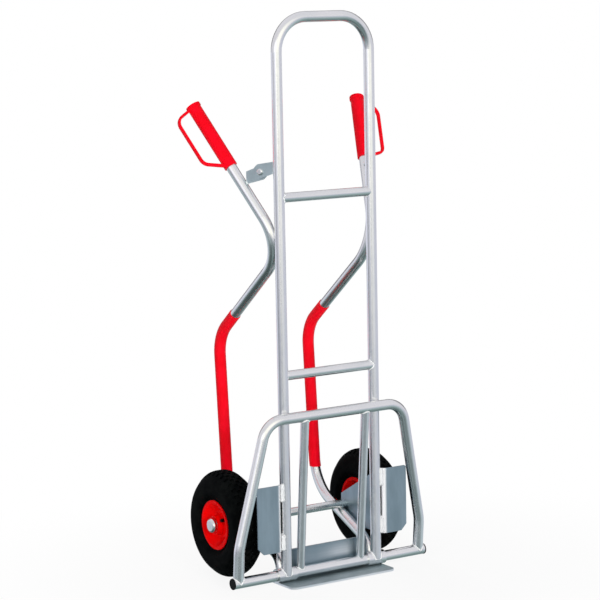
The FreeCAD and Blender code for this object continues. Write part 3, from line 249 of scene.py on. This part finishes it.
def add_floor():
    mesh = bpy.data.meshes.new("floor")
    corners = [(x * FLOOR_HALF, y * FLOOR_HALF, 0) for x, y in ((-1, -1), (1, -1), (1, 1), (-1, 1))]
    mesh.from_pydata(corners, [], [(0, 1, 2, 3)])
    floor = bpy.data.objects.new("floor", mesh)
    bpy.context.scene.collection.objects.link(floor)
    floor.location.z = -FLOOR_DROP
    floor.visible_glossy = False

    material = bpy.data.materials.new("floor")
    material.use_nodes = True
    tree = material.node_tree
    tree.nodes.clear()
    matt = tree.nodes.new("ShaderNodeBsdfDiffuse")
    feed(tree, matt.inputs["Color"], FLOOR_TONE)
    white = glow(tree, "ShaderNodeEmission", WHITE, 1.0)
    distance = tree.nodes.new("ShaderNodeVectorMath")
    distance.operation = "LENGTH"
    tree.links.new(tree.nodes.new("ShaderNodeTexCoord").outputs["Object"], distance.inputs[0])
    fade = map_range(tree, distance.outputs["Value"], FADE_FROM, FADE_TO, WHITE_SHARE_NEAR, 1.0)
    to_eye = tree.nodes.new("ShaderNodeLightPath").outputs["Is Camera Ray"]
    share = combine(tree, "MULTIPLY", fade, to_eye)
    out = tree.nodes.new("ShaderNodeOutputMaterial")
    tree.links.new(mix_shaders(tree, share, matt.outputs[0], white), out.inputs[0])
    mesh.materials.append(material)


# --------------------------------------------------------------------------------------
# Materials. Noise scales are per metre, and a stretch draws the noise out along an axis.
# --------------------------------------------------------------------------------------
ALONG_X = (0.03, 1, 1)
ALONG_Z = (1, 1, 0.03)
ROUND = (1, 1, 1)
DRAWN_GRAIN = 260.0
HANDLING_MARKS = 48.0


class Surface:
    """Node material with the handful of steps that every finish here shares."""

    def __init__(self, name, **shader):
        self.material = bpy.data.materials.new(name)
        self.material.use_nodes = True
        self.tree = self.material.node_tree
        self.shader = self.tree.nodes["Principled BSDF"]
        for socket, value in shader.items():
            self.shader.inputs[socket.replace("_", " ")].default_value = value
        self.place = self.tree.nodes.new("ShaderNodeTexCoord").outputs["Object"]
        self.bumped = None

    def noise(self, scale, detail=4.0, roughness=0.55, stretch=ROUND):
        mapping = self.tree.nodes.new("ShaderNodeMapping")
        mapping.inputs["Scale"].default_value = stretch
        self.tree.links.new(self.place, mapping.inputs["Vector"])
        item = self.tree.nodes.new("ShaderNodeTexNoise")
        settings = {"Vector": mapping.outputs["Vector"], "Scale": scale, "Detail": detail,
                    "Roughness": roughness}
        for socket, value in settings.items():
            feed(self.tree, item.inputs[socket], value)
        return item.outputs["Fac"]

    def spread(self, value, low, high, to_low, to_high):
        return map_range(self.tree, value, low, high, to_low, to_high, curve="LINEAR")

    def contrast(self, noise, to_low, to_high):
        """Noise stays near 0.5, so its middle is stretched over the wanted range."""
        return self.spread(noise, 0.3, 0.7, to_low, to_high)

    def split(self, vector):
        item = self.tree.nodes.new("ShaderNodeSeparateXYZ")
        self.tree.links.new(vector, item.inputs[0])
        return item.outputs

    def along(self, axis, low, high, stops):
        """Greys along an axis of the object, from low to high in metres, by (share, grey) stops."""
        share = self.spread(self.split(self.place)[axis], low, high, 0, 1)
        return colour_ramp(self.tree, share, [(position, (grey,) * 3) for position, grey in stops])

    def facing(self, axis, low, high, to_low, to_high):
        """Share of the surface's own outward direction along one axis."""
        normal = self.tree.nodes.new("ShaderNodeNewGeometry").outputs["Normal"]
        return self.spread(self.split(normal)[axis], low, high, to_low, to_high)

    def blend(self, factor, first, second):
        return mix_colours(self.tree, factor, first, second)

    def give(self, socket, value):
        self.tree.links.new(value, self.shader.inputs[socket])

    def bump(self, value, strength, distance):
        item = self.tree.nodes.new("ShaderNodeBump")
        item.inputs["Strength"].default_value = strength
        item.inputs["Distance"].default_value = distance
        self.tree.links.new(value, item.inputs["Height"])
        if self.bumped is not None:
            self.tree.links.new(self.bumped, item.inputs["Normal"])
        self.bumped = item.outputs["Normal"]
        self.give("Normal", self.bumped)


def aluminium(name, light, dark, rough, stretch, cloud_scale=9.0, streak=0.15, metallic=1.0):
    """Satin aluminium: drawn grain along the part, cloudy oxide and small handling marks."""
    metal = Surface(name, Metallic=metallic)
    cloud = metal.noise(cloud_scale, 3.0, 0.6)
    grain = metal.noise(DRAWN_GRAIN, 3.0, 0.5, stretch)
    tone = metal.blend(metal.contrast(cloud, 0, 1), dark, light)
    metal.give("Base Color", metal.blend(metal.contrast(grain, 0, streak), tone, dark))
    marks = metal.noise(HANDLING_MARKS, 5.0, 0.65)
    metal.give("Roughness", metal.contrast(marks, rough - 0.04, rough + 0.05))
    metal.bump(grain, 0.008, 0.0001)
    return metal.material


def plastic(name, light, dark, rough, grain_scale, grain_strength, gloss=0.08):
    """Moulded plastic: even colour with slight clouding, fine spark-eroded grain, soft gloss."""
    moulded = Surface(name, Specular_IOR_Level=gloss)
    cloud = moulded.noise(26.0, 3.0)
    moulded.give("Base Color", moulded.blend(moulded.contrast(cloud, 0, 1), dark, light))
    scuff = moulded.noise(120.0, 4.0, 0.6)
    moulded.give("Roughness", moulded.spread(scuff, 0.3, 0.75, rough - 0.04, rough + 0.08))
    moulded.bump(moulded.noise(grain_scale, 2.0), grain_strength, 0.0002)
    return moulded.material


def rubber(name, light, dark, rough):
    """Dull rubber with dust in its pores."""
    dull = Surface(name, Specular_IOR_Level=0.035)
    dust = dull.noise(34.0, 5.0, 0.7)
    dull.give("Base Color", dull.blend(dull.spread(dust, 0.42, 0.75, 0, 1), dark, light))
    dull.give("Roughness", dull.contrast(dust, rough - 0.08, rough + 0.1))
    dull.bump(dull.noise(900.0, 3.0, 0.7), 0.3, 0.0003)
    dull.bump(dull.noise(45.0, 2.0), 0.15, 0.001)
    return dull.material


def steel(name, light, dark, rough, scale):
    """Plated or turned steel with fine polishing marks."""
    plate = Surface(name, Metallic=1.0)
    cloud = plate.noise(70.0, 3.0)
    plate.give("Base Color", plate.blend(plate.contrast(cloud, 0, 1), dark, light))
    polish = plate.noise(160.0, 4.0, 0.6)
    plate.give("Roughness", plate.contrast(polish, rough - 0.03, rough + 0.06))
    plate.bump(plate.noise(scale, 2.0), 0.06, 0.0001)
    return plate.material


# Painted highlight on the toe's edge and painted reflection on its upright front, by shares of its
# height and of its width
PAINTED_EDGE_HIGHLIGHT = ((0.0, 1.0), (0.05, 1.0), (0.08, 0.0))
PAINTED_REFLECTION_BY_HEIGHT = ((0.48, 0.0), (0.60, 0.95), (0.68, 1.0), (0.86, 0.5), (0.97, 0.15))
PAINTED_REFLECTION_BY_WIDTH = ((0.0, 0.06), (0.40, 0.10), (0.50, 0.28), (0.60, 0.62), (0.70, 0.72), (0.79, 0.08))


def toe_sheet():
    """Rolled sheet in dull streaks, with a painted reflection on its upright front, a painted highlight
    on the toe's edge and painted shade, mottled by scuffs, on its top.
    """
    low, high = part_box("toe_plate")
    sheet = Surface("plate_rolled", Metallic=0.82)
    rolled = sheet.contrast(sheet.noise(16.0, 3.0, 0.6, (0.1, 1, 1)), 0, 1)
    grain = sheet.noise(DRAWN_GRAIN, 3.0, 0.5, ALONG_X)
    # Near-white tone of the painted reflection and the painted edge highlight
    painted_highlight_tone = sheet.blend(rolled, (0.84, 0.87, 0.90), (0.97, 0.98, 1.0))
    painted_highlight_tone = sheet.blend(sheet.contrast(grain, 0, 0.5), painted_highlight_tone, (0.66, 0.72, 0.74))
    dull = sheet.blend(rolled, (0.22, 0.30, 0.35), (0.28, 0.36, 0.41))
    # Painted highlight on the lowest shares of the plate's height (the toe's edge). Painted reflection
    # on forward faces: a band by height (back) times a band by width (middle). Elsewhere the upright
    # keeps the dull tone.
    edge = sheet.along("Z", low.z, high.z, PAINTED_EDGE_HIGHLIGHT)
    back = sheet.along("Z", low.z, high.z, PAINTED_REFLECTION_BY_HEIGHT)
    middle = sheet.along("X", low.x, high.x, PAINTED_REFLECTION_BY_WIDTH)
    front = combine(sheet.tree, "MULTIPLY", middle, sheet.facing("Y", -0.9, -0.4, 1, 0))
    upright = sheet.blend(combine(sheet.tree, "MULTIPLY_ADD", back, front, edge), dull, painted_highlight_tone)
    # Painted shade on faces that look up: the toe's top gets a dark tone, mottled by scuff noise
    scuffs = sheet.spread(sheet.noise(24.0, 5.0, 0.7, (0.35, 1, 1)), 0.38, 0.62, 0, 1)
    painted_shade_with_scuffs = sheet.blend(scuffs, (0.29, 0.37, 0.39), (0.50, 0.59, 0.62))
    sheet.give("Base Color", sheet.blend(sheet.facing("Z", 0.6, 0.9, 0, 0.9), upright, painted_shade_with_scuffs))
    sheet.give("Roughness", sheet.contrast(sheet.noise(HANDLING_MARKS, 5.0, 0.65), 0.30, 0.40))
    sheet.bump(grain, 0.02, 0.0001)
    return sheet.material


# The painted highlight strip beside each leg: its width, and how strongly it is painted along Y near
# the leg's front
PAINTED_STRIP_WIDTH = 0.014
PAINTED_STRIP_DEPTH = 0.01
PAINTED_STRIP_FRONT = ((0.0, 1.0), (0.45, 1.0), (0.75, 0.0))


def bracket_sheet():
    """Dull blue-grey sheet with a painted highlight on its slanted strip beside the leg, near-white and
    less metallic.
    """
    leg_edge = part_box("main_frame_tube")[1].x
    # To each side of the middle, which puts the legs' outer edges at the shares 0.25 and 0.75
    span = 2 * leg_edge
    sheet = Surface("sheet_rolled", Metallic=1.0)
    cloud = sheet.noise(30.0, 4.0, 0.6, (1, 1, 0.3))
    grain = sheet.noise(DRAWN_GRAIN, 3.0, 0.5, ALONG_Z)
    tone = sheet.blend(sheet.contrast(cloud, 0, 1), (0.30, 0.39, 0.44), (0.41, 0.515, 0.58))
    tone = sheet.blend(sheet.contrast(grain, 0, 0.4), tone, (0.30, 0.40, 0.46))
    reach = PAINTED_STRIP_WIDTH / (2 * span)
    highlight_beside_leg = sheet.along("X", -span, span, (
        (0.25 - reach, 0.0), (0.25 - 0.7 * reach, 1.0), (0.75 + 0.7 * reach, 1.0), (0.75 + reach, 0.0)))
    front = sheet.along("Y", -PAINTED_STRIP_DEPTH, PAINTED_STRIP_DEPTH, PAINTED_STRIP_FRONT)
    # Painted highlight: the slanted strip by each leg, near the leg's front, is made near-white and
    # less metallic, standing in for its lit bend
    painted_highlight_share = combine(sheet.tree, "MULTIPLY", highlight_beside_leg, front)
    sheet.give("Base Color", sheet.blend(painted_highlight_share, tone, (0.97, 0.97, 0.98)))
    sheet.give("Metallic", sheet.spread(painted_highlight_share, 0, 1, 1, 0.35))
    sheet.give("Roughness", sheet.contrast(sheet.noise(HANDLING_MARKS, 5.0, 0.65), 0.38, 0.47))
    sheet.bump(grain, 0.02, 0.0001)
    return sheet.material


TUBE_LIGHT, TUBE_DARK = (0.93, 0.93, 0.93), (0.84, 0.86, 0.87)
FINISHES = {
    "upright": aluminium("tube_drawn_up", TUBE_LIGHT, TUBE_DARK, 0.22, ALONG_Z),
    "level": aluminium("tube_drawn_across", TUBE_LIGHT, TUBE_DARK, 0.22, ALONG_X),
    "bent": aluminium("tube_drawn_bent", TUBE_LIGHT, TUBE_DARK, 0.24, ROUND, streak=0.08),
    "sheet": bracket_sheet(),
    "plate": toe_sheet(),
    "lug": aluminium("lug_sheet", (0.64, 0.76, 0.78), (0.52, 0.62, 0.64), 0.38, ROUND, 30.0, 0.4),
    "bead": aluminium("weld_bead", (0.97, 0.97, 0.97), (0.86, 0.88, 0.89), 0.34, ROUND,
                      metallic=0.4),
    "red": plastic("red_sleeve", (0.97, 0.003, 0.018), (0.84, 0.002, 0.010), 0.34, 500.0, 0.06),
    "rim": plastic("red_rim", (0.98, 0.002, 0.003), (0.88, 0.001, 0.001), 0.30, 400.0, 0.08,
                   gloss=0.03),
    "black": plastic("black_plug", (0.014, 0.014, 0.016), (0.005, 0.005, 0.006), 0.45, 500.0, 0.2,
                     gloss=0.04),
    "tyre": rubber("tyre_rubber", (0.0075, 0.0085, 0.0080), (0.0008, 0.0012, 0.0014), 0.70),
    "tube": rubber("air_tube_rubber", (0.02, 0.02, 0.02), (0.006, 0.006, 0.006), 0.6),
    "plated": steel("plated_steel", (0.93, 0.93, 0.92), (0.80, 0.81, 0.81), 0.16, 220.0),
    "axle": steel("turned_steel", (0.86, 0.88, 0.88), (0.68, 0.70, 0.70), 0.24, 300.0),
}
FINISH_OF = {
    "main_frame_tube": "upright", "upper_crossbar": "level", "lower_crossbar": "level",
    "toe_plate": "plate", "stay_bolts": "plated", "stay_nuts": "plated", "axle": "axle",
    "axle_spacers": "axle", "axle_washers": "plated", "shovel_cross_tube": "level",
    "shovel_bow_tube": "bent", "shovel_bar": "upright", "hinge_knuckle": "level",
    "runner_tube": "bent", "slide_sleeve": "red", "grip": "red", "stay_leg_lug": "lug",
    "stay_handle_lug": "lug", "side_bracket": "sheet", "axle_cap": "plated",
    "cross_tube_plug": "black", "tyre": "tyre", "inner_tube": "tube", "rim": "rim",
    "valve": "tube", "bearings": "axle",
}


def dress_nodes():
    """Give every CAD node its finish, the same for a left and a right one."""
    for name, item in NODES.items():
        family = name.removesuffix("_left").removesuffix("_right")
        finish = FINISHES[FINISH_OF[family]]
        if not item.material_slots:
            item.data.materials.append(finish)
        for slot in item.material_slots:
            slot.link = "DATA"
            slot.material = finish


# --------------------------------------------------------------------------------------
# Weld beads, laid where the CAD tubes and sheets meet. Lengths are in metres.
# --------------------------------------------------------------------------------------
BEAD = 0.0021
THIN_BEAD = 0.0014
BROAD_BEAD = 0.0050
BEAD_SIDES = 8
RIPPLE = 0.0034
RIPPLE_STEPS = 4
RIPPLE_SWELL, HAND_SWELL, HAND_PACE = 0.16, 0.10, 0.37
TIP_SIZE, TIP_GROWTH = 0.35, 0.3
SKEW = Vector((0.31, 0.17, 0.93))
FEWEST_STEPS = 8

# The bracket beads: how far in from the leg's outer edge and in front of its axis they lie, in leg
# radii, and the shares of the bracket's height between which each runs
STITCH_INSET, STITCH_FRONT = 0.03, 0.6
STITCHES = ((0.01, 0.25), (0.74, 1.01))

# Finding seams: corners closer than SAME_POINT are one, SEAM_REACH is the gap up to which a corner is
# on the other surface, SHARP_EDGE is in radians
SAME_POINT = 2e-5
SEAM_REACH = 0.0004
SHARP_EDGE = 0.6
SHORTEST_SEAM = 0.01
SEAMS_APART = 0.012


def resampled(points, closed, step):
    """Points at even steps along a path."""
    path = list(points) + ([points[0]] if closed else [])
    lengths = [0.0]
    for a, b in zip(path, path[1:]):
        lengths.append(lengths[-1] + (b - a).length)
    count = max(FEWEST_STEPS, round(lengths[-1] / step))
    if closed:
        count -= count % RIPPLE_STEPS
    out = []
    j = 0
    for i in range(count if closed else count + 1):
        target = lengths[-1] * i / count
        while j + 2 < len(path) and lengths[j + 1] < target:
            j += 1
        share = (target - lengths[j]) / max(lengths[j + 1] - lengths[j], 1e-9)
        out.append(path[j].lerp(path[j + 1], share))
    return out


def bead_ring(spaced, i, closed, radius):
    """Corners of the bead round one point of its path, swollen like the drops of a hand weld."""
    count = len(spaced)
    point = spaced[i]
    after = spaced[(i + 1) % count] if closed or i + 1 < count else point
    before = spaced[i - 1] if closed or i > 0 else point
    along = (after - before).normalized()
    side = along.cross(SKEW).normalized()
    other = along.cross(side)
    ripple = RIPPLE_SWELL * math.sin(2 * math.pi * i / RIPPLE_STEPS)
    swell = radius * (1 + ripple + HAND_SWELL * math.sin(i * HAND_PACE))
    if not closed:
        swell *= min(1.0, TIP_SIZE + TIP_GROWTH * min(i, count - 1 - i))
    angles = [2 * math.pi * k / BEAD_SIDES for k in range(BEAD_SIDES)]
    return [point + (side * math.cos(angle) + other * math.sin(angle)) * swell for angle in angles]


def swept_bead(name, body, points, closed, radius):
    """Rippled bead along a path, like the overlapped drops of a hand weld."""
    spaced = resampled(points, closed, RIPPLE / RIPPLE_STEPS)
    count = len(spaced)
    vertices = [corner for i in range(count) for corner in bead_ring(spaced, i, closed, radius)]
    faces = []
    for i in range(count if closed else count - 1):
        here, there = i * BEAD_SIDES, (i + 1) % count * BEAD_SIDES
        for k in range(BEAD_SIDES):
            m = (k + 1) % BEAD_SIDES
            faces.append((here + k, here + m, there + m, there + k))
    if not closed:
        faces.append(tuple(range(BEAD_SIDES))[::-1])
        faces.append(tuple(range((count - 1) * BEAD_SIDES, count * BEAD_SIDES)))
    mesh = bpy.data.meshes.new(name)
    mesh.from_pydata(vertices, [], faces)
    mesh.validate()
    for polygon in mesh.polygons:
        polygon.use_smooth = True
    mesh.materials.append(FINISHES["bead"])
    bead = bpy.data.objects.new(name, mesh)
    bpy.context.scene.collection.objects.link(bead)
    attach(bead, body)


def joined_mesh(node):
    """Copy of a node's mesh with its shared corners joined."""
    copy = bmesh.new()
    copy.from_mesh(NODES[node].data)
    bmesh.ops.remove_doubles(copy, verts=copy.verts, dist=SAME_POINT)
    return copy


def search_tree(node):
    data = NODES[node].data
    corners = [vertex.co for vertex in data.vertices]
    return BVHTree.FromPolygons(corners, [tuple(polygon.vertices) for polygon in data.polygons])


def chained(edges):
    """Paths of corners, each as long as the edges lead on in both directions."""
    paths = []
    while edges:
        path = list(edges.pop(0).verts)
        for end in (-1, 0):
            while True:
                tip = path[end]
                step = next((edge for edge in tip.link_edges if edge in edges), None)
                if step is None:
                    break
                edges.remove(step)
                path.insert(len(path) if end else 0, step.other_vert(tip))
        paths.append(path)
    return paths


def seam_paths(node, other):
    """Sharp edges of a node on another node's surface, as (points, closed) paths.

    Of the inner and outer edge of one wall, only the longer is kept.
    """
    mesh = joined_mesh(node)
    surface = search_tree(other)
    touching = {vertex for vertex in mesh.verts if surface.find_nearest(vertex.co)[3] < SEAM_REACH}
    edges = [edge for edge in mesh.edges
             if touching.issuperset(edge.verts) and edge.calc_face_angle(0) > SHARP_EDGE]
    seams = []
    for path in chained(edges):
        points = [vertex.co.copy() for vertex in path]
        closed = path[0] is path[-1]
        length = sum((b - a).length for a, b in zip(points, points[1:]))
        middle = sum(points, Vector()) / len(points)
        seams.append((length, middle, points[:-1] if closed else points, closed))
    mesh.free()
    seams.sort(key=lambda seam: -seam[0])
    kept = []
    for seam in seams:
        apart = all((seam[1] - longer[1]).length > SEAMS_APART for longer in kept)
        if seam[0] > SHORTEST_SEAM and apart:
            kept.append(seam)
    return [(points, closed) for _, _, points, closed in kept]


def weld(node, other, body, radius=BEAD):
    for number, (points, closed) in enumerate(seam_paths(node, other)):
        swept_bead(f"bead.{node}.{other}.{number}", body, points, closed, radius)


def stitch_brackets():
    """Two broad vertical beads in the valley between each leg and the slanted strip of its bracket."""
    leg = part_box("main_frame_tube")[1]
    radius = leg.y
    x = leg.x - STITCH_INSET * radius
    y = -STITCH_FRONT * radius
    for side, sign in zip(SIDES, (-1, 1)):
        low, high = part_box(f"side_bracket_{side}")
        for number, ends in enumerate(STITCHES):
            points = [Vector((sign * x, y, low.z + (high.z - low.z) * end)) for end in ends]
            swept_bead(f"bead.bracket.{side}.{number}", "frame", points, False, BROAD_BEAD)


def weld_all():
    stitch_brackets()
    for bar in ("upper_crossbar", "lower_crossbar"):
        weld(bar, "main_frame_tube", "frame")
    weld("shovel_bow_tube", "shovel_cross_tube", "shovel")
    for side in SIDES:
        weld(f"shovel_bar_{side}", "shovel_cross_tube", "shovel")
        weld(f"shovel_bar_{side}", "shovel_bow_tube", "shovel")
        weld(f"runner_tube_{side}", "main_frame_tube", "frame")
        weld(f"runner_tube_{side}", "toe_plate", "frame")
        weld(f"stay_leg_lug_{side}", "main_frame_tube", "frame", THIN_BEAD)
        weld(f"stay_handle_lug_{side}", f"runner_tube_{side}", "frame", THIN_BEAD)
    for side in SIDES:
        weld("main_frame_tube", f"hinge_knuckle_{side}", "frame")


add_camera()
add_world()
add_floor()
for lamp in LAMPS:
    add_lamp(*lamp)
dress_nodes()
weld_all()
bpy.context.scene.view_settings.view_transform = "Standard"
